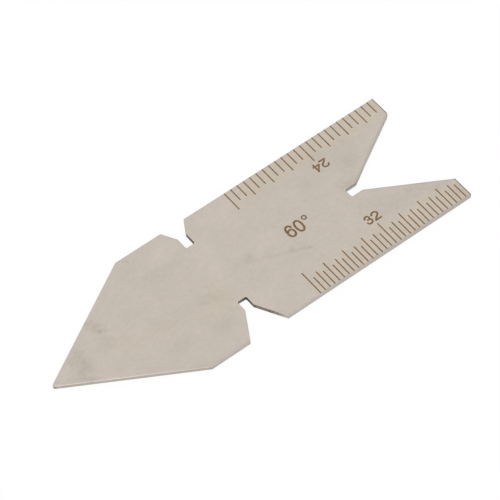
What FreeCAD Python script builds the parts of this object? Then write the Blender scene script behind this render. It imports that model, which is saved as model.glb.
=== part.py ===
import FreeCAD, Part
import math
import os

import Sketcher

# Center gauge: one ground sheet-steel blade with a 60 degree point, two 60 degree side notches, a 60 degree
# fishtail and four one-inch scales, whose engraved lines hold a dark filling.
# The origin lies under the middle of the blade on its back face, +X points to the fishtail, and the side
# with the small notch and the 24 scale is +Y. All lengths are millimetres.

document = FreeCAD.newDocument("center_gauge")

# Driving dimensions
sheet = document.addObject("Spreadsheet::Sheet", "sizes")
SIZES = (
    # Blade
    ("overall_length", 60.6),
    ("blade_width", 20.4),
    ("blade_thickness", 0.7),
    ("gauge_angle", 60.0),
    ("tip_radius", 0.3),
    ("edge_radius", 0.1),
    # Side notches, opposite each other; their distance from the end is a share of the straight sides
    ("notch_share", 0.7855),
    ("small_notch_mouth", 3.8),
    ("small_notch_depth", 3.9),
    ("large_notch_mouth", 6.2),
    ("large_notch_depth", 5.73),
    ("notch_relief_width", 1.38),
    # Fishtail
    ("fishtail_mouth", 13.7),
    ("fishtail_depth", 12.54),
    ("fishtail_relief_width", 1.34),
    ("relief_corner_radius", 0.2),
    ("prong_inner_radius", 0.8),
    ("prong_outer_radius", 0.2),
    # Scales, each measured back from the ends of the fishtail
    ("scale_length", 25.4),
    ("line_width", 0.17),
    ("line_depth", 0.06),
    ("filling_recess", 0.01),
    ("scale_24_margin", 0.02),
    ("scale_24_long", 3.28),
    ("scale_24_middle", 2.73),
    ("scale_24_short", 2.18),
    ("scale_32_margin", 0.18),
    ("scale_32_long", 3.94),
    ("scale_32_quarter", 3.46),
    ("scale_32_middle", 2.98),
    ("scale_32_short", 2.48),
    ("scale_14_margin", 0.12),
    ("scale_14_long", 3.2),
    ("scale_14_short", 2.2),
    ("scale_20_margin", 0.14),
    ("scale_20_long", 3.7),
    ("scale_20_middle", 2.9),
    ("scale_20_short", 2.3),
)
for row, (alias, value) in enumerate(SIZES, 1):
    sheet.set("A%d" % row, alias)
    sheet.set("B%d" % row, str(value))
    sheet.setAlias("B%d" % row, alias)
document.recompute()


def size(alias):
    """The present value of a driving dimension."""
    return float(sheet.get(alias))


# How far a cutter stands out of the face that it enters
CUTTER_OVERRUN = 0.2


def new_body(label):
    """An empty body with a label of its own."""
    body = document.addObject("PartDesign::Body", label)
    body.Label = label
    body.AllowCompound = True
    return body


def origin_feature(body, role):
    """One of the body's own base planes or axes."""
    return next(feature for feature in body.Origin.OriginFeatures if feature.Role == role)


def new_sketch(body, name, places=(), turn=0.0):
    """A sketch on the body's XY plane; places bind its offset to expressions, and turn rotates it about Z."""
    sketch = body.newObject("Sketcher::SketchObject", name)
    sketch.AttachmentSupport = (origin_feature(body, "XY_Plane"), [""])
    sketch.MapMode = "FlatFace"
    rotation = FreeCAD.Rotation(FreeCAD.Vector(0, 0, 1), turn)
    sketch.AttachmentOffset = FreeCAD.Placement(FreeCAD.Vector(0, 0, 0), rotation)
    for axis, expression in places:
        sketch.setExpression("AttachmentOffset.Base." + axis, expression)
    return sketch


def closed_outline(sketch, points):
    """Straight lines through the points and back to the first, joined end to end."""
    corners = [FreeCAD.Vector(x, y, 0) for x, y in points]
    for here, there in zip(corners, corners[1:] + corners[:1]):
        sketch.addGeometry(Part.LineSegment(here, there), False)
    count = len(corners)
    for line in range(count):
        sketch.addConstraint(Sketcher.Constraint("Coincident", line, 2, (line + 1) % count, 1))


def bound(sketch, name, expression, *constraint):
    """A named dimension of the sketch that follows an expression."""
    index = sketch.addConstraint(Sketcher.Constraint(*constraint))
    sketch.renameConstraint(index, name)
    sketch.setExpression("Constraints." + name, expression)


# A sketch's vertical and horizontal axes, and the two ends of one of its lines
UPRIGHT, ACROSS = range(-2, 0)
START, END = range(1, 3)


def pad(body, name, sketch, height):
    """The sketch raised by an expression."""
    feature = body.newObject("PartDesign::Pad", name)
    feature.Profile = sketch
    feature.setExpression("Length", height)
    return feature


def cut_through(body, name, sketch):
    """The sketch cut through the whole thickness above it."""
    before = body.Shape.Volume
    feature = body.newObject("PartDesign::Pocket", name)
    feature.Profile = sketch
    feature.Type = "ThroughAll"
    feature.Reversed = True
    document.recompute()
    if not feature.Shape.Volume < before:
        raise ValueError(name + " removes nothing from the blade")
    return feature


def upright_edges(feature, places):
    """Names of the edges that stand upright at the places."""
    names = []
    for number, edge in enumerate(feature.Shape.Edges, 1):
        foot, head = (vertex.Point for vertex in (edge.Vertexes[0], edge.Vertexes[-1]))
        stands = math.hypot(foot.x - head.x, foot.y - head.y) < 1e-6
        if stands and any(math.hypot(foot.x - x, foot.y - y) < 1e-4 for x, y in places):
            names.append("Edge%d" % number)
    if len(names) != len(places):
        raise ValueError("found %d of %d upright edges" % (len(names), len(places)))
    return names


def round_off(body, name, places, radius):
    """A round on the upright edges at the places."""
    base = body.Tip
    feature = body.newObject("PartDesign::Fillet", name)
    feature.Base = (base, upright_edges(base, places))
    feature.setExpression("Radius", "sizes." + radius)
    document.recompute()


# Blank: the blade with its point, before it is notched and engraved
blank = new_body("blank")

# How far the sharp apex of the flanks would stand out of the blunted tip, how long the flanks are along X,
# and how long the straight sides behind them are
TIP_GAP = "sizes.tip_radius * (1 / sin(sizes.gauge_angle / 2 * 1deg) - 1)"
FLANK_LENGTH = "sizes.blade_width / 2 / tan(sizes.gauge_angle / 2 * 1deg)"
SIDE_LENGTH = "(sizes.overall_length + %s - %s)" % (TIP_GAP, FLANK_LENGTH)


def add_plate():
    """The plate: a point whose flanks meet at the gauge angle, then two parallel sides and a square end."""
    half_angle = math.radians(size("gauge_angle")) / 2
    half_width = size("blade_width") / 2
    end = size("overall_length") / 2
    apex = -end - size("tip_radius") * (1 / math.sin(half_angle) - 1)
    shoulder = apex + half_width / math.tan(half_angle)
    outline = new_sketch(blank, "plate_outline")
    points = [
        (apex, 0),
        (shoulder, -half_width),
        (end, -half_width),
        (end, half_width),
        (shoulder, half_width),
    ]
    closed_outline(outline, points)
    lower_flank, lower_side, square_end, upper_side, upper_flank = range(len(points))
    outline.addConstraint(
        [
            Sketcher.Constraint("Horizontal", lower_side),
            Sketcher.Constraint("Horizontal", upper_side),
            Sketcher.Constraint("Vertical", square_end),
            Sketcher.Constraint("PointOnObject", lower_flank, START, ACROSS),
            Sketcher.Constraint("Symmetric", lower_flank, END, upper_flank, START, ACROSS),
        ]
    )
    bound(
        outline,
        "apex_to_origin",
        "sizes.overall_length / 2 + " + TIP_GAP,
        "DistanceX", lower_flank, START, ACROSS, START, -apex,
    )
    bound(
        outline,
        "origin_to_end",
        "sizes.overall_length / 2",
        "DistanceX", ACROSS, START, square_end, START, end,
    )
    bound(
        outline,
        "width",
        "sizes.blade_width",
        "DistanceY", square_end, START, square_end, END, 2 * half_width,
    )
    bound(
        outline,
        "flank_angle",
        "sizes.gauge_angle / 2 * 1deg",
        "Angle", ACROSS, START, upper_flank, END, half_angle,
    )
    pad(blank, "plate", outline, "sizes.blade_thickness")
    document.recompute()
    return apex


apex_x = add_plate()


def add_vee(name, places, turn, mouth, depth, relief):
    """A vee of the gauge angle that ends in a parallel relief slot, so that a ground point can bed in it.

    In the sketch the mouth lies on the horizontal axis and the notch points down. The corners at the bottom
    of the slot are given back as places on the blade.
    """
    half_angle = math.radians(size("gauge_angle")) / 2
    half_mouth = size(mouth) / 2
    half_relief = size(relief) / 2
    throat = (half_mouth - half_relief) / math.tan(half_angle)
    bottom = size(depth)
    sketch = new_sketch(blank, name + "_outline", places, turn)
    points = [
        (-half_mouth, 0),
        (-half_relief, -throat),
        (-half_relief, -bottom),
        (half_relief, -bottom),
        (half_relief, -throat),
        (half_mouth, 0),
    ]
    closed_outline(sketch, points)
    left_flank, left_wall, floor, right_wall, right_flank, opening = range(len(points))
    sketch.addConstraint(
        [
            Sketcher.Constraint("Vertical", left_wall),
            Sketcher.Constraint("Vertical", right_wall),
            Sketcher.Constraint("PointOnObject", opening, START, ACROSS),
            Sketcher.Constraint("Symmetric", opening, START, opening, END, UPRIGHT),
            Sketcher.Constraint("Symmetric", floor, START, floor, END, UPRIGHT),
            Sketcher.Constraint("Equal", left_wall, right_wall),
        ]
    )
    bound(
        sketch,
        "mouth",
        "sizes." + mouth,
        "DistanceX", opening, END, opening, START, 2 * half_mouth,
    )
    bound(
        sketch,
        "relief",
        "sizes." + relief,
        "DistanceX", floor, START, floor, END, 2 * half_relief,
    )
    bound(
        sketch,
        "depth",
        "sizes." + depth,
        "DistanceY", floor, START, ACROSS, START, bottom,
    )
    bound(
        sketch,
        "vee_angle",
        "sizes.gauge_angle * 1deg",
        "Angle", right_flank, START, left_flank, END, 2 * half_angle,
    )
    document.recompute()
    cut_through(blank, name, sketch)
    corners = [sketch.Placement.multVec(FreeCAD.Vector(x, y, 0)) for x, y in points[2:4]]
    return [(corner.x, corner.y) for corner in corners]


NOTCH_PLACE = "sizes.overall_length / 2 - sizes.notch_share * " + SIDE_LENGTH
relief_corners = add_vee(
    "small_notch",
    [("x", NOTCH_PLACE), ("y", "sizes.blade_width / 2")],
    0,
    "small_notch_mouth",
    "small_notch_depth",
    "notch_relief_width",
)
relief_corners += add_vee(
    "large_notch",
    [("x", NOTCH_PLACE), ("y", "-sizes.blade_width / 2")],
    180,
    "large_notch_mouth",
    "large_notch_depth",
    "notch_relief_width",
)
relief_corners += add_vee(
    "fishtail",
    [("x", "sizes.overall_length / 2")],
    -90,
    "fishtail_mouth",
    "fishtail_depth",
    "fishtail_relief_width",
)

# Rounded corners: the blunted tip, the relief slots, and two corners of the fishtail's prongs
end_x = size("overall_length") / 2
round_off(blank, "tip_round", [(apex_x, 0)], "tip_radius")
round_off(blank, "relief_rounds", relief_corners, "relief_corner_radius")
round_off(blank, "prong_inner_round", [(end_x, size("fishtail_mouth") / 2)], "prong_inner_radius")
round_off(blank, "prong_outer_round", [(end_x, -size("blade_width") / 2)], "prong_outer_radius")


def soften_edges():
    """A small round along every edge of both faces, where the sheared edges are dressed."""
    base = blank.Tip
    faces = (0, size("blade_thickness"))
    names = []
    for number, edge in enumerate(base.Shape.Edges, 1):
        heights = [vertex.Z for vertex in edge.Vertexes]
        if any(max(abs(z - face) for z in heights) < 1e-6 for face in faces):
            names.append("Edge%d" % number)
    rounds = blank.newObject("PartDesign::Fillet", "edge_rounds")
    rounds.Base = (base, names)
    rounds.setExpression("Radius", "sizes.edge_radius")
    document.recompute()


soften_edges()


def ruled_lines(label, scale, edge, divisions, ranks, bottom, height):
    """Straight lines square to one edge of the blade, in equal divisions of the scale's length.

    Each rank is a step in divisions and the length of its lines, and longer lines cover the shorter ones.
    The edge is 1 on the +Y side and -1 on the -Y side; bottom and height are expressions.
    """
    body = new_body(label)
    zero = size("overall_length") / 2 - size("scale_length")
    half_line = size("line_width") / 2
    outer = size("blade_width") / 2 - size(scale + "_margin")
    for step, rank in ranks:
        inner = outer - size(rank)
        name = "%s_every_%d" % (label, step)
        sketch = new_sketch(body, name + "_outline", [("z", bottom)])
        left, right = zero - half_line, zero + half_line
        points = [(left, edge * inner), (right, edge * inner), (right, edge * outer), (left, edge * outer)]
        closed_outline(sketch, points)
        inner_end, right_side, outer_end, left_side = range(len(points))
        sketch.addConstraint(
            [
                Sketcher.Constraint("Horizontal", inner_end),
                Sketcher.Constraint("Horizontal", outer_end),
                Sketcher.Constraint("Vertical", left_side),
                Sketcher.Constraint("Vertical", right_side),
            ]
        )
        bound(
            sketch,
            "zero_line",
            "sizes.overall_length / 2 - sizes.scale_length - sizes.line_width / 2",
            "DistanceX", ACROSS, START, inner_end, START, left,
        )
        bound(
            sketch,
            "line_width",
            "sizes.line_width",
            "DistanceX", inner_end, START, inner_end, END, 2 * half_line,
        )
        bound(
            sketch,
            "outer_end",
            "%d * (sizes.blade_width / 2 - sizes.%s_margin)" % (edge, scale),
            "DistanceY", ACROSS, START, outer_end, START, edge * outer,
        )
        bound(
            sketch,
            "line_length",
            "%d * sizes.%s" % (edge, rank),
            "DistanceY", inner_end, END, outer_end, START, edge * (outer - inner),
        )
        first = pad(body, name, sketch, height)
        row = body.newObject("PartDesign::LinearPattern", name + "_row")
        row.Originals = [first]
        row.Direction = (origin_feature(body, "X_Axis"), [""])
        row.setExpression("Length", "sizes.scale_length")
        row.Occurrences = divisions // step + 1
        body.Tip = row
    document.recompute()
    return body


cutters = []
nodes = []


def add_scale(scale, face, edge, divisions, ranks):
    """One scale on the front or the back: its grooves' cutter, and the filling trimmed to the blank."""
    fill_height = "(sizes.line_depth - sizes.filling_recess)"
    groove_height = "sizes.line_depth + %g" % CUTTER_OVERRUN
    if face == "front":
        groove_bottom = fill_bottom = "sizes.blade_thickness - sizes.line_depth"
    else:
        groove_bottom = "-%g" % CUTTER_OVERRUN
        fill_bottom = "sizes.filling_recess"
    cutters.append(
        ruled_lines(scale + "_cutter", scale, edge, divisions, ranks, groove_bottom, groove_height)
    )
    filling = document.addObject("Part::Common", scale + "_marks")
    filling.Label = scale + "_marks"
    filling.Base = ruled_lines(scale + "_strips", scale, edge, divisions, ranks, fill_bottom, fill_height)
    filling.Tool = blank
    document.recompute()
    nodes.append(filling)


add_scale(
    "scale_24",
    "front",
    1,
    24,
    ((1, "scale_24_short"), (3, "scale_24_middle"), (12, "scale_24_long")),
)
add_scale(
    "scale_32",
    "front",
    -1,
    32,
    ((1, "scale_32_short"), (2, "scale_32_middle"), (4, "scale_32_quarter"), (16, "scale_32_long")),
)
add_scale(
    "scale_14",
    "back",
    1,
    14,
    ((1, "scale_14_short"), (7, "scale_14_long")),
)
add_scale(
    "scale_20",
    "back",
    -1,
    20,
    ((1, "scale_20_short"), (5, "scale_20_middle"), (10, "scale_20_long")),
)

# Blade: the blank with the grooves of all four scales cut in
grooves = document.addObject("Part::Compound", "grooves")
grooves.Links = cutters
blade = document.addObject("Part::Cut", "gauge_blade")
blade.Label = "gauge_blade"
blade.Base = blank
blade.Tool = grooves
document.recompute()
nodes.insert(0, blade)

# Every feature has to be sound before anything is written
for item in document.Objects:
    if "Invalid" in item.State or "Error" in item.State:
        raise ValueError(item.Label + " failed")
os.makedirs("parts", exist_ok=True)
for node in nodes:
    if node.Shape.isNull() or not node.Shape.isValid() or not node.Shape.Solids:
        raise ValueError(node.Label + " has no sound solid")
for node in nodes:
    node.Shape.exportStep("parts/%s.step" % node.Label)
    print(node.Label, len(node.Shape.Solids), "solids,", round(node.Shape.Volume, 4), "mm3")
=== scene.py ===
import math

import bpy
import numpy as np
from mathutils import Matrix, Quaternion, Vector


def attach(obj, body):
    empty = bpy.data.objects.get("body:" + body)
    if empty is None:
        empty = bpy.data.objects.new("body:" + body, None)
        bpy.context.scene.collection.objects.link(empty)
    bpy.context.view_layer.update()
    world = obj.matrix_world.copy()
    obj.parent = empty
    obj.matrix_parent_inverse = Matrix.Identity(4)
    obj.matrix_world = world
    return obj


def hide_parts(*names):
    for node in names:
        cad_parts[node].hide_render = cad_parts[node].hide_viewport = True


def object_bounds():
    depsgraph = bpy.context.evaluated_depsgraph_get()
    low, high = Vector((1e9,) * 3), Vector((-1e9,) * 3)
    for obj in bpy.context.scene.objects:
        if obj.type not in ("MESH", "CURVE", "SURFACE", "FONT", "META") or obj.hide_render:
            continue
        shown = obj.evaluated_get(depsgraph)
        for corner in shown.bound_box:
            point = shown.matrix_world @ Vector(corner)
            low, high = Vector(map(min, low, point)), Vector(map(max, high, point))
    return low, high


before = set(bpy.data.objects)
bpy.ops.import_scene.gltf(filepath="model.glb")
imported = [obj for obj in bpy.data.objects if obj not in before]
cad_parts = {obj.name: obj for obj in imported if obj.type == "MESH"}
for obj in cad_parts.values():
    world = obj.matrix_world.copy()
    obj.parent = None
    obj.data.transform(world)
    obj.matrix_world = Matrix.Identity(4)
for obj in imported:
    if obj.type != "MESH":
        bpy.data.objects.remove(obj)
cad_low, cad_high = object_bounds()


# Camera: a long lens that looks down on the blade from the side of its point. The aim is where the
# middle of the picture meets the front face.
MM = 0.001
aim = Vector((1.95, 0.92, 0.70)) * MM
heading = math.radians(38.25)
elevation = math.radians(54.98)
roll = math.radians(-0.18)
distance = 376.4 * MM
focal_length = 209.1
sensor_width = 36
nearest_seen = 10 * MM

scene = bpy.context.scene
backwards = Vector((-math.sin(heading), -math.cos(heading), math.tan(elevation))).normalized()
lens = bpy.data.cameras.new("camera")
lens.lens = focal_length
lens.sensor_width = sensor_width
lens.clip_start = nearest_seen
camera = bpy.data.objects.new("camera", lens)
camera.location = aim + backwards * distance
camera.rotation_mode = "QUATERNION"
camera.rotation_quaternion = backwards.to_track_quat("Z", "Y") @ Quaternion((0, 0, 1), roll)
scene.collection.objects.link(camera)
scene.camera = camera
scene.view_settings.view_transform = "Standard"


# Light: an even white tent all round, a little greyer below than above, and one soft lamp on the side of
# the point. What the camera sees of the tent is plain white.
class Signal:
    """An output in a node tree. An expression on signals and numbers adds its Math nodes to the tree."""

    def __init__(self, socket):
        self.socket = socket

    def node(self, kind, settings, sockets, output=0):
        """Adds a node of that type: first its settings, then a value or a link for each socket."""
        tree = self.socket.id_data
        made = tree.nodes.new("ShaderNode" + kind)
        for name, value in settings.items():
            setattr(made, name, value)
        for name, value in sockets.items():
            if isinstance(value, Signal):
                tree.links.new(value.socket, made.inputs[name])
            else:
                made.inputs[name].default_value = value
        return Signal(made.outputs[output])

    def feed(self, socket):
        """Links the signal to the input of a node that is there already."""
        self.socket.id_data.links.new(self.socket, socket)

    def math(self, operation, *values):
        return self.node("Math", {"operation": operation}, dict(enumerate(values)))

    def __add__(self, other):
        return self.math("ADD", self, other)

    def __sub__(self, other):
        return self.math("SUBTRACT", self, other)

    def __rsub__(self, other):
        return self.math("SUBTRACT", other, self)

    def __mul__(self, other):
        return self.math("MULTIPLY", self, other)

    __radd__ = __add__
    __rmul__ = __mul__

    def axis(self, name):
        """One axis of a vector."""
        return self.node("SeparateXYZ", {}, {"Vector": self}, name)

    def rise(self, start, end):
        """0 below the start and 1 above the end, with a smooth rise between them."""
        limits = {"Value": self, "From Min": start, "From Max": end}
        return self.node("MapRange", {"interpolation_type": "SMOOTHSTEP"}, limits)


tent_above = 1.0
tent_below = 0.86
tent_turn = (-0.25, 0.45)
lamp_place = Vector((-0.34, -0.75, 0.57))
lamp_distance = 700 * MM
lamp_size = 300 * MM
lamp_watts = 0.5

tent = bpy.data.worlds.new("tent")
tent.use_nodes = True
scene.world = tent
background = tent.node_tree.nodes["Background"].inputs
background["Color"].default_value = (1, 1, 1, 1)
ray = Signal(tent.node_tree.nodes.new("ShaderNodeTexCoord").outputs["Generated"])
level = tent_below + ray.axis("Z").rise(*tent_turn) * (tent_above - tent_below)
seen_plain = ray.node("LightPath", {}, {}, "Is Camera Ray")
(level + seen_plain * (1 - level)).feed(background["Strength"])

lamp = bpy.data.lights.new("lamp", "AREA")
lamp.shape = "SQUARE"
lamp.size = lamp_size
lamp.energy = lamp_watts
lamp_box = bpy.data.objects.new("lamp", lamp)
lamp_box.location = lamp_place.normalized() * lamp_distance
lamp_box.rotation_mode = "QUATERNION"
lamp_box.rotation_quaternion = lamp_place.to_track_quat("Z", "Y")
scene.collection.objects.link(lamp_box)

# Table: plain white paper that only the camera sees, so the metal shows the tent. It keeps a faint shadow
# of the blade. From below it is clear, and the back of the blade can be looked at.
table_size = 3.0
table_gap = 0.02 * MM
shadow_share = 0.08
paper_white = (0.95, 0.95, 0.95, 1)

table_corners = np.array([(-1, -1), (1, -1), (1, 1), (-1, 1)]) * table_size / 2
table_points = np.column_stack([table_corners, np.full(4, -table_gap)])
table_mesh = bpy.data.meshes.new("table")
table_mesh.from_pydata(table_points.tolist(), [], [(0, 1, 2, 3)])
table = bpy.data.objects.new("table", table_mesh)
scene.collection.objects.link(table)
table.visible_diffuse = False
table.visible_glossy = False
table.visible_shadow = False
paper = bpy.data.materials.new("paper")
paper.use_nodes = True
paper.node_tree.nodes.clear()
from_below = Signal(paper.node_tree.nodes.new("ShaderNodeNewGeometry").outputs["Backfacing"])
lit = from_below.node("BsdfDiffuse", {}, {"Color": paper_white})
glow = from_below.node("Emission", {}, {"Strength": 1.0})
seen = from_below.node("MixShader", {}, {"Fac": shadow_share, 1: glow, 2: lit})
clear = from_below.node("BsdfTransparent", {}, {})
sheet = from_below.node("MixShader", {}, {"Fac": from_below, 1: seen, 2: clear})
sheet.feed(paper.node_tree.nodes.new("ShaderNodeOutputMaterial").inputs["Surface"])
table_mesh.materials.append(paper)


# Blade: one flat piece of stainless sheet, punched to its outline, ground satin on both faces and broken
# along every edge. The lines of its scales are in the CAD blade; the grooves of its figures are cut here.
figure_depth = 0.05 * MM
figure_recess = 0.008 * MM
run_points = 10
room_margin = 1.1
flat_enough = 0.9
sharp_angle = math.radians(35)

# The centre line of each digit in a box of 1 by 1, as strokes of cubic curves: a point where a curve
# starts or ends, and between two of them the two pulls of the curve.
digit_strokes = {
    "0": [
        [(0.5, 1), (0.84, 1), (1, 0.8), (1, 0.5), (1, 0.2), (0.84, 0), (0.5, 0)]
        + [(0.16, 0), (0, 0.2), (0, 0.5), (0, 0.8), (0.16, 1), (0.5, 1)],
    ],
    "1": [
        [(0.62, 0), (0.62, 0.3), (0.62, 0.7), (0.62, 1)],
        [(0.54, 0.93), (0.45, 0.86), (0.33, 0.79), (0.2, 0.74)],
    ],
    "2": [
        [(0.0, 0.77), (0.06, 0.92), (0.22, 1), (0.47, 1), (0.78, 1), (0.98, 0.88), (0.98, 0.7)]
        + [(0.98, 0.42), (0.35, 0.38), (0.08, 0.06)],
        [(0, 0), (0.3, 0), (0.7, 0), (1, 0)],
    ],
    "3": [
        [(0.02, 0.79), (0.06, 0.92), (0.22, 1), (0.45, 1), (0.75, 1), (0.9, 0.9), (0.9, 0.77)]
        + [(0.9, 0.62), (0.7, 0.545), (0.42, 0.545)],
        [(0.42, 0.545), (0.8, 0.545), (1, 0.45), (1, 0.28), (1, 0.1), (0.78, 0), (0.47, 0)]
        + [(0.2, 0), (0.03, 0.08), (0, 0.22)],
    ],
    "4": [
        [(0.76, 0), (0.76, 0.3), (0.76, 0.7), (0.76, 1)],
        [(0, 0.27), (0.3, 0.27), (0.7, 0.27), (1, 0.27)],
        [(0.06, 0.33), (0.25, 0.51), (0.5, 0.75), (0.7, 0.955)],
    ],
    "6": [
        [(0.97, 0.79), (0.9, 0.93), (0.77, 1), (0.54, 1), (0.16, 1), (0, 0.78), (0, 0.44)]
        + [(0, 0.15), (0.2, 0), (0.52, 0), (0.82, 0), (1, 0.13), (1, 0.32)]
        + [(1, 0.52), (0.82, 0.63), (0.54, 0.63), (0.3, 0.63), (0.1, 0.55), (0.04, 0.42)],
    ],
    "degree": [
        [(0.5, 1), (0.776, 1), (1, 0.776), (1, 0.5), (1, 0.224), (0.776, 0), (0.5, 0)]
        + [(0.224, 0), (0, 0.224), (0, 0.5), (0, 0.776), (0.224, 1), (0.5, 1)],
    ],
}

# Each number: where its middle is, the signs of x and y that turn it on its face, and its digits, each
# with its left end and foot from that middle, its width, height and stroke.
numbers = {
    "figures_24": (
        (17.80, 5.81),
        (-1, -1),
        (("2", -1.15, -0.74, 1.10, 1.48, 0.25), ("4", 0.03, -0.74, 1.14, 1.48, 0.25)),
    ),
    "figures_32": (
        (17.65, -4.97),
        (1, 1),
        (("3", -1.13, -0.74, 1.02, 1.48, 0.25), ("2", 0.02, -0.74, 1.12, 1.48, 0.25)),
    ),
    "figures_60": (
        (8.63, -0.045),
        (1, 1),
        (
            ("6", -1.36, -1.04, 1.27, 2.08, 0.3),
            ("0", 0.09, -1.04, 1.28, 2.08, 0.3),
            ("degree", 1.65, 0.27, 0.80, 0.80, 0.2),
        ),
    ),
    "figures_14": (
        (17.80, 5.81),
        (1, -1),
        (("1", -1.02, -0.74, 0.80, 1.48, 0.25), ("4", -0.02, -0.74, 1.14, 1.48, 0.25)),
    ),
    "figures_20": (
        (17.65, -4.97),
        (-1, 1),
        (("2", -1.13, -0.74, 1.10, 1.48, 0.25), ("0", 0.06, -0.74, 1.08, 1.48, 0.25)),
    ),
}
back_numbers = ("figures_14", "figures_20")


def curve_points(controls):
    """Points on a chain of cubic curves: each is the sum of its four controls, weighted by the terms of
    (t + (1 - t)) cubed. The end of each curve is left to the next one to give."""
    controls = np.array(controls, float)
    t = np.linspace(0, 1, run_points, endpoint=False)
    weights = np.stack([(1 - t) ** 3, 3 * t * (1 - t) ** 2, 3 * t * t * (1 - t), t ** 3])
    runs = np.stack([controls[0:-1:3], controls[1::3], controls[2::3], controls[3::3]])
    return np.concatenate([np.einsum("km,krc->rmc", weights, runs).reshape(-1, 2), controls[-1:]])


def stroke_bar(line, stroke, low, high):
    """A rectangular profile carried along a line: at each point the profile stands across the line, its
    sides half a stroke away and mitred, its floor and top at two heights. An open line runs on by half a
    stroke at each end and is capped there. Returns points and four-sided faces."""
    closed = np.allclose(line[0], line[-1])
    if closed:
        line = line[:-1]
    ahead = np.roll(line, -1, 0) - line
    if not closed:
        ahead[-1] = ahead[-2]
    ahead /= np.linalg.norm(ahead, axis=1)[:, None]
    behind = np.roll(ahead, 1, 0)
    if not closed:
        behind[0] = ahead[0]
        line = line.copy()
        line[0] -= ahead[0] * stroke / 2
        line[-1] += ahead[-1] * stroke / 2
    across = (ahead + behind)[:, ::-1] * (-1, 1)
    across /= (across * ahead[:, ::-1] * (-1, 1)).sum(1)[:, None]
    left, right = line + across * stroke / 2, line - across * stroke / 2
    sections = [np.column_stack([side, np.full(len(line), z)])
                for side, z in ((left, high), (right, high), (right, low), (left, low))]
    points = np.stack(sections, 1)
    index = np.arange(points.shape[0] * 4).reshape(-1, 4)
    after = np.roll(index, -1, 0) if closed else index[1:]
    index = index if closed else index[:-1]
    faces = np.stack([index, np.roll(index, -1, 1), np.roll(after, -1, 1), after], 2).reshape(-1, 4)
    if not closed:
        last = points.shape[0] * 4 - 4
        faces = np.concatenate([faces, [[3, 2, 1, 0], [last, last + 1, last + 2, last + 3]]])
    return points.reshape(-1, 3), faces


def number_bars(name, low, high):
    """The strokes of a number as bars between two heights."""
    middle, turn, digits = numbers[name]
    bars = []
    for digit, left, foot, width, tall, stroke in digits:
        room = np.array((width, tall)) - stroke
        corner = np.array((left, foot)) + stroke / 2
        for controls in digit_strokes[digit]:
            line = (corner + curve_points(controls) * room) * turn + middle
            bars.append(stroke_bar(line * MM, stroke * MM, low, high))
    return bars


def new_object(name, parts):
    """One object from several (points, faces) parts."""
    starts = np.cumsum([0] + [len(points) for points, _ in parts])
    points = np.concatenate([points for points, _ in parts])
    faces = []
    for (_, part_faces), start in zip(parts, starts):
        faces += (np.asarray(part_faces) + start).tolist()
    mesh = bpy.data.meshes.new(name)
    mesh.from_pydata(points.tolist(), [], faces)
    made = bpy.data.objects.new(name, mesh)
    scene.collection.objects.link(made)
    return made


def block(low, high):
    """A box between two heights that is a little wider than the blade."""
    side = cad_high[0] * room_margin
    return stroke_bar(np.array(((-side, 0), (side, 0))), 2 * side, low, high)


def solid(name, base, operation, tool):
    """What a boolean leaves of a base, as a new object. The base and the tool are taken away."""
    cut = base.modifiers.new("cut", "BOOLEAN")
    cut.operation = operation
    cut.solver = "EXACT"
    cut.use_self = True
    cut.object = tool
    view = bpy.context.evaluated_depsgraph_get()
    mesh = bpy.data.meshes.new_from_object(base.evaluated_get(view))
    bpy.data.objects.remove(base)
    bpy.data.objects.remove(tool)
    made = bpy.data.objects.new(name, mesh)
    scene.collection.objects.link(made)
    return made


# The strokes of each number cut its grooves. What is left of them below the face is its filling.
back_face, front_face = cad_low[2], cad_high[2]
grooves = []
figures = []
for name in numbers:
    if name in back_numbers:
        bars = number_bars(name, back_face - figure_depth, back_face + figure_depth)
        room = block(back_face + figure_recess, back_face + 2 * figure_depth)
    else:
        bars = number_bars(name, front_face - figure_depth, front_face + figure_depth)
        room = block(front_face - 2 * figure_depth, front_face - figure_recess)
    grooves += bars
    figures.append(solid(name, new_object(name + "_bars", bars), "INTERSECT", new_object("room", [room])))

# The blank is the CAD blade's own mesh with its doubles merged. Its two faces stay flat, and the rounded
# edges between them are shaded smooth.
cad_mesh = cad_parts["gauge_blade"].data
cad_points = np.empty((len(cad_mesh.vertices), 3), np.float32)
cad_mesh.vertices.foreach_get("co", cad_points.ravel())
cad_triangles = np.empty(len(cad_mesh.loops), np.int32)
cad_mesh.loops.foreach_get("vertex_index", cad_triangles)
places, merged = np.unique(cad_points, axis=0, return_inverse=True)
blank = new_object("blank", [(places, merged.reshape(-1)[cad_triangles].reshape(-1, 3))])
blade = solid("blade", blank, "DIFFERENCE", new_object("grooves", grooves))

normals = np.zeros(len(blade.data.polygons) * 3)
blade.data.polygons.foreach_get("normal", normals)
blade.data.polygons.foreach_set("use_smooth", np.abs(normals[2::3]) < flat_enough)
blade.data.set_sharp_from_angle(angle=sharp_angle)


def new_material(name, **same_all_over):
    """A material, its object coordinates and its shader's inputs, some of them set already."""
    material = bpy.data.materials.new(name)
    material.use_nodes = True
    nodes = material.node_tree.nodes
    inputs = nodes["Principled BSDF"].inputs
    for socket, value in same_all_over.items():
        inputs[socket.replace("_", " ")].default_value = value
    return material, Signal(nodes.new("ShaderNodeTexCoord").outputs["Object"]), inputs


def noise(place, size, detail=2, stretch=(1, 1, 1)):
    """Noise of about -1 to 1 round 0, with patches of that size, stretched along the axes."""
    scale = tuple(1 / (size * MM * axis) for axis in stretch)
    scaled = place.node("VectorMath", {"operation": "MULTIPLY"}, {0: place, 1: scale})
    return scaled.node("TexNoise", {}, {"Vector": scaled, "Scale": 1.0, "Detail": detail}) * 4 - 2


def blend(mask, first, second):
    """The first colour where the mask is 0 and the second where it is 1."""
    return mask.node("Mix", {"data_type": "RGBA"}, {0: mask, 6: first, 7: second}, 2)


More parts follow.
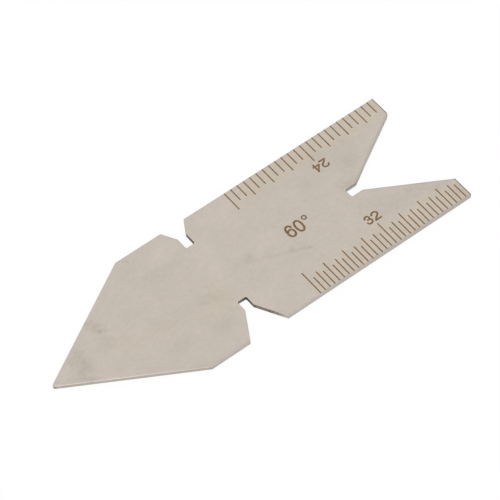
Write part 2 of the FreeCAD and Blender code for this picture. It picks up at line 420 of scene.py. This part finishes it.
def scaled(colour, factor):
    """A colour made lighter or darker."""
    return factor.node("VectorMath", {"operation": "SCALE"}, {0: colour, "Scale": factor})


def dab(place, face, centre_x, centre_y, length, width, turn, reach=0.2):
    """1 in the middle of a soft oval on one face, and 0 outside it and beyond its reach in z."""
    where = {
        "Vector": place,
        "Location": (centre_x * MM, centre_y * MM, face),
        "Rotation": (0, 0, math.radians(turn)),
        "Scale": (length / 2 * MM, width / 2 * MM, reach * MM),
    }
    oval = place.node("Mapping", {"vector_type": "TEXTURE"}, where)
    return 1 - oval.node("VectorMath", {"operation": "LENGTH"}, {0: oval}, "Value").rise(0.2, 1.2)


# The steel where it is ground, where its edges are dressed and painted lighter as a highlight, on its
# sheared walls and on the lighter walls of the fishtail; the near-black and rust-brown of the painted
# shade; and the warm stain on it. Places and sizes on it are in millimetres.
ground = (0.566, 0.506, 0.449, 1)
# The dressed edges are a light burnish that also serves as a painted highlight along the rounded edges.
dressed_and_highlit = (0.595, 0.546, 0.512, 1)
sheared = (0.551, 0.506, 0.479, 1)
bright = (0.780, 0.770, 0.760, 1)
# The near-black and the rust-brown are the colours of painted shade in the notches and slot and along some
# edges.
shade_dark = (0.118, 0.098, 0.078, 1)
shade_rust_brown = (0.230, 0.140, 0.085, 1)
stained = (0.562, 0.500, 0.336, 1)
edge_round = 0.1
flank_sine = math.sin(math.radians(30))
flank_cosine = math.cos(math.radians(30))

# Handling marks on the two faces: where they are, their length and width, their turn in degrees, and how
# much darker they are, or lighter where it is negative.
front_smudges = (
    (-25.5, 0.3, 6.0, 3.6, 80, 0.05),
    (-25.3, 1.8, 2.8, 2.2, 85, 0.05),
    (-25.7, -0.2, 3.0, 2.2, 80, 0.07),
    (-25.1, 0.4, 4.0, 1.4, 85, 0.03),
    (-26.5, 1.4, 2.6, 1.6, 80, 0.06),
    (-26.7, -1.0, 2.4, 1.8, 60, 0.07),
    (-28.2, 0.5, 2.4, 1.6, 30, -0.05),
    (-26.0, -2.3, 3.4, 1.0, -30, 0.08),
    (-23.4, -4.1, 3.2, 0.8, -30, -0.06),
    (-14.2, -9.2, 4.6, 0.9, -30, 0.07),
    (-20.7, 2.8, 1.2, 1.0, 0, 0.16),
    (-21.0, 3.6, 3.0, 2.0, 110, 0.08),
    (-21.6, 4.9, 2.0, 1.8, 120, 0.09),
    (-21.4, 1.0, 3.2, 3.0, 0, 0.05),
    (-10.5, -1.5, 10.0, 2.6, -5, 0.04),
    (-6.9, -1.7, 3.6, 2.4, -20, 0.05),
    (-14.0, -5.4, 4.4, 3.0, 0, 0.05),
    (-8.2, -6.1, 4.0, 2.8, 0, 0.05),
    (-9.0, 5.3, 8.0, 2.8, 0, 0.05),
    (-11.6, 9.4, 1.0, 0.5, -50, 0.14),
    (-12.0, 8.0, 4.0, 2.6, 0, 0.04),
    (-7.3, 7.6, 5.0, 3.2, 0, -0.05),
    (-3.2, 3.0, 4.0, 10.0, 0, -0.04),
    (-2.0, -6.0, 4.0, 6.0, 0, -0.04),
    (4.3, 1.2, 4.0, 3.4, 0, -0.03),
    (0.4, 0.0, 3.6, 2.2, 10, 0.045),
    (1.2, 0.1, 1.6, 1.2, 20, 0.09),
    (1.2, -0.7, 2.2, 1.0, -20, 0.07),
    (-1.1, 0.0, 1.4, 1.0, 10, 0.03),
    (0.6, -2.8, 3.0, 5.0, 0, 0.03),
    (5.4, -3.7, 5.0, 1.4, -15, 0.035),
    (2.5, 7.8, 9.0, 4.4, 0, -0.03),
    (3.4, -1.6, 3.0, 1.1, -30, 0.08),
    (4.6, -0.9, 1.8, 0.6, -30, 0.04),
    (5.2, -2.3, 3.4, 1.0, -30, 0.08),
    (6.9, -2.9, 3.6, 1.1, -32, 0.08),
    (7.6, -2.2, 2.8, 0.6, -35, 0.06),
    (8.0, -3.4, 2.0, 0.6, -30, 0.03),
    (8.3, -3.7, 0.6, 0.5, 0, 0.12),
    (17.0, 6.6, 7.0, 4.4, 0, 0.05),
    (21.5, 5.2, 7.0, 5.6, 20, 0.05),
    (18.8, 1.8, 4.6, 2.8, 10, 0.05),
    (18.6, 1.0, 3.2, 1.0, 0, 0.10),
    (14.5, 4.4, 5.0, 5.0, 0, 0.03),
    (20.6, 3.6, 5.0, 2.4, 25, 0.03),
    (20.0, -4.3, 9.0, 4.6, -25, 0.05),
    (26.0, -5.2, 8.0, 4.0, -25, 0.06),
    (29.4, -8.8, 3.6, 3.6, 0, 0.07),
)
back_smudges = (
    (-23.0, -0.8, 6.0, 3.4, 70, 0.06),
    (-21.8, -2.0, 2.6, 1.8, 50, 0.07),
    (-13.0, 3.6, 7.0, 3.4, 15, 0.05),
    (-8.5, -4.0, 3.2, 2.0, -40, 0.06),
    (-2.6, 1.4, 5.0, 5.0, 0, -0.04),
    (2.8, -1.6, 4.0, 1.2, 35, 0.07),
    (4.9, 0.3, 2.4, 1.0, 30, 0.06),
    (10.5, 2.2, 7.0, 4.0, -20, -0.03),
    (13.4, -2.8, 3.6, 1.8, 10, 0.06),
    (24.0, 5.4, 6.0, 3.0, 25, 0.05),
)

# Faint warm stains on the two faces, in the same order, with how strong they are.
front_stains = (
    (-19.2, -0.5, 4.6, 3.2, -20, 0.20),
    (-14.6, -1.8, 6.0, 2.8, -10, 0.20),
    (-5.8, -2.6, 5.6, 5.6, 0, 0.22),
    (-9.0, -3.8, 3.4, 2.4, 0, 0.16),
)
back_stains = (
    (-10.0, 2.6, 6.0, 4.0, 20, 0.20),
    (6.0, -2.0, 5.0, 3.0, 0, 0.16),
)

steel, place, shader = new_material("ground_steel", Metallic=1.0)
x, y, z = (place.axis(name) * (1 / MM) for name in "XYZ")
beside = y.math("ABSOLUTE", y)
inset = z.math("MINIMUM", z, front_face / MM - z)
edge = inset.rise(0.003, edge_round / 2)
wall = inset.rise(edge_round * 0.9, edge_round * 1.1)

# Inside the notches and the fishtail the punched walls were never dressed. They carry painted shade, most
# of it in the corners of the slots and rust-brown in patches, down to the back face.
notch_x = -3.66
notch_side = (3.1, 3.35)
notch_mouth = (8.3, 10.1)
fishtail_bottom = (17.4, 17.6)
fishtail_side = (6.8, 7.1)
fishtail_slot = (18.6, 21.5)
fishtail_lighter = (20.5, 22.5)
corner_shift = 0.7
corner_reach = 5

punched = (front_face / MM - z).rise(edge_round * 0.3, edge_round * 0.7) * z.rise(0.0, 0.02)
from_notch = x.math("ABSOLUTE", x - notch_x)
in_notch = (1 - from_notch.rise(*notch_side)) * (1 - beside.rise(*notch_mouth))
in_fishtail = x.rise(*fishtail_bottom) * (1 - beside.rise(*fishtail_side))
in_slot = in_fishtail * (1 - x.rise(*fishtail_slot))
# Painted shade, deepest in the corners of the two notch slots.
large_corner_shade = dab(place, front_face, notch_x + corner_shift, -4.6, 2.4, 2.8, 0, corner_reach)
small_corner_shade = dab(place, front_face, notch_x + corner_shift, 6.5, 2.0, 2.8, 0, corner_reach)
corner_shade = large_corner_shade + small_corner_shade
mottling = noise(place, 0.35, 3)
notch_shade = in_notch * (0.74 + corner_shade * 0.25 + mottling * 0.35)
slot_shade = in_slot * (0.22 + mottling * 0.3)
wall_shade = punched * (notch_shade + slot_shade)
rust_brown_patches = noise(place, 0.8, 2).rise(0.1, 0.9) * 0.6

# A thin painted dark line, standing for a dark reflection, runs along the two square ends and the inner
# edges of the prongs, and a fainter one along the side with the small notch.
square_end = (30.08, 30.2)
small_side = (10.0, 10.1)

painted_dark_line = (edge - wall) * (in_fishtail * 0.85 + in_notch * 0.3 + y.rise(*small_side) * 0.3)
painted_dark_line = painted_dark_line + x.rise(*square_end) * (1 - wall) * 0.95

# Painted shade: the front face darkens softly towards the flanks of the fishtail, in a wider band on the
# prong with the 24, and towards its two long sides, more so where the scales are.
fishtail_apex = 18.436
small_notch_half = (-1.0, 1.0)
flank_rim = (0.05, 0.35)
flank_start = (18.9, 19.9)
wider_by = 0.12
small_side_rim = (9.95, 10.1)
small_side_lines = (4.0, 5.5)
large_side_rim = (-10.1, -9.85)
large_side_lines = (4.0, 6.0)
large_side_end = (16.0, 28.0)

from_flank = beside * flank_cosine - (x - fishtail_apex) * flank_sine
from_flank = from_flank - y.rise(*small_notch_half) * wider_by
rim_shade = (1 - from_flank.rise(*flank_rim)) * x.rise(*flank_start) * 0.11
rim_shade = rim_shade + y.rise(*small_side_rim) * (0.025 + x.rise(*small_side_lines) * 0.03)
large_side_shade = 0.08 + x.rise(*large_side_lines) * 0.05 + x.rise(*large_side_end) * 0.04
rim_shade = rim_shade + (1 - y.rise(*large_side_rim)) * large_side_shade

# On the side with the large notch a broken painted highlight runs along the edge of the point, most of all
# at the tip, and the wall below it is painted a little darker. The wall round the blunt tip is painted
# darker still. The long wall on that side is painted from lighter at the scale's first lines to darker at
# the square end.
point_apex = -30.6
large_notch_half = (-0.3, 0.1)
flank_shine = (0.12, 0.3)
bright_tip = (-29.8, -29.0)
blunt_tip = (-30.2, -29.9)
large_side = (-10.19, -10.1)
lighter_from = (3.0, 5.0)
darker_towards = (12.0, 28.0)

into_point = (x - point_apex) * flank_sine - beside * flank_cosine
point_side = (1 - y.rise(*large_notch_half)) * (1 - into_point.rise(*flank_shine))
point_highlight = 0.03 + mottling * 0.02 + (1 - x.rise(*bright_tip)) * 0.04 - wall * 0.075
large_wall = (1 - y.rise(*large_side)) * wall
painted_light_and_shade = point_side * point_highlight
painted_light_and_shade = painted_light_and_shade + large_wall * (x.rise(*lighter_from) * 0.03 - x.rise(*darker_towards) * 0.06)
painted_light_and_shade = painted_light_and_shade - (1 - x.rise(*blunt_tip)) * wall * 0.3

# Smudges and stains have ragged outlines, and smudges are patchy inside. A stain also runs along each
# scale, where the filling was rubbed in.
ragged_size = 0.7 * MM
ragged_reach = (1.4 * MM, 1.4 * MM, 0)
scale_start = (4.0, 7.0)
small_side_scale = (6.0, 7.8)
large_side_scale = (-7.4, -5.4)

ragged = place.node("TexNoise", {}, {"Vector": place, "Scale": 1 / ragged_size, "Detail": 3.0}, "Color")
ragged = ragged.node("VectorMath", {"operation": "SUBTRACT"}, {0: ragged, 1: (0.5, 0.5, 0.5)})
ragged = ragged.node("VectorMath", {"operation": "MULTIPLY"}, {0: ragged, 1: ragged_reach})
ragged = ragged.node("VectorMath", {"operation": "ADD"}, {0: place, 1: ragged})


def marks_on(face, marks):
    """All the marks of one face, each as strong as its row says."""
    return sum(dab(ragged, face, *where) * strength for *where, strength in marks)


patchy = 0.8 + noise(place, 0.5, 3, (1.4, 1, 1)) * 0.45
smudge = (marks_on(front_face, front_smudges) + marks_on(back_face, back_smudges)) * patchy
along_scales = y.rise(*small_side_scale) * 0.2 + (1 - y.rise(*large_side_scale)) * 0.12
stain = x.rise(*scale_start) * along_scales
stain = stain + marks_on(front_face, front_stains) + marks_on(back_face, back_stains)

# The grinding left a fine grain, long scratches along the faces and upright scores on the walls, over
# clouds of slightly lighter and darker metal.
clouds = noise(place, 1.8, 4)
grain = noise(place, 0.4, 2, (1.6, 1, 1))
scratches = noise(place, 0.07, 3, (22, 1, 1)) * (1 - wall)
scores = noise(place, 0.09, 2, (1, 1, 14)) * wall
# Besides the grain, the tone carries the painted highlight and shade of the point and walls, the painted
# shade of the slot corners and the painted shade along the rims.
tone = 1.005 + clouds * 0.034 + grain * 0.045 + scratches * 0.04 + scores * 0.08 + painted_light_and_shade
tone = tone - smudge - corner_shade * punched * 0.3 - rim_shade * (1 - wall * 0.8)
colour = blend(wall, blend(edge, blend(stain, ground, stained), dressed_and_highlit), sheared)
# Further out in the fishtail the walls turn a lighter colour.
colour = blend(wall * in_fishtail * x.rise(*fishtail_lighter), colour, bright)
# The painted shade of the walls and the painted dark lines take the near-black and rust-brown colours.
colour = blend(wall_shade + painted_dark_line, colour, blend(rust_brown_patches, shade_dark, shade_rust_brown))
scaled(colour, tone).feed(shader["Base Color"])
rough = 0.38 + grain * 0.05 + clouds * 0.03 + scratches * 0.06 + smudge * 0.6
rough = rough + wall * 0.1 + scores * 0.06
rough.feed(shader["Roughness"])
relief = scratches + scores * 2
relief_height = 0.004 * MM
bumps = place.node("Bump", {}, {"Height": relief, "Strength": 0.5, "Distance": relief_height})
bumps.feed(shader["Normal"])
blade.data.materials.append(steel)
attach(blade, "root")
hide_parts("gauge_blade")


# Fillings: the dull brown stuff in the grooves of the scales and figures, rubbed in and wiped off a little
# below the face. The lines are finer than the figures and came out paler.
crust_height = 0.01 * MM


def brown_filling(name, dark, light):
    """A crusty brown that wanders between two tones."""
    material, place, shader = new_material(name)
    patches = noise(place, 0.35, 3)
    blend(patches.rise(-0.6, 0.6), dark, light).feed(shader["Base Color"])
    (0.62 + patches * 0.12).feed(shader["Roughness"])
    crust = noise(place, 0.06, 2)
    bumps = place.node("Bump", {}, {"Height": crust, "Strength": 0.4, "Distance": crust_height})
    bumps.feed(shader["Normal"])
    shader["Specular IOR Level"].default_value = 0.25
    return material


figure_brown = brown_filling("figure_brown", (0.130, 0.087, 0.041, 1), (0.276, 0.149, 0.054, 1))
for figure in figures:
    figure.data.materials.append(figure_brown)
    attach(figure, "root")
line_brown = brown_filling("line_brown", (0.145, 0.078, 0.026, 1), (0.260, 0.122, 0.024, 1))
for scale in ("scale_24_marks", "scale_32_marks", "scale_14_marks", "scale_20_marks"):
    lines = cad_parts[scale]
    lines.data.materials.clear()
    lines.data.materials.append(line_brown)
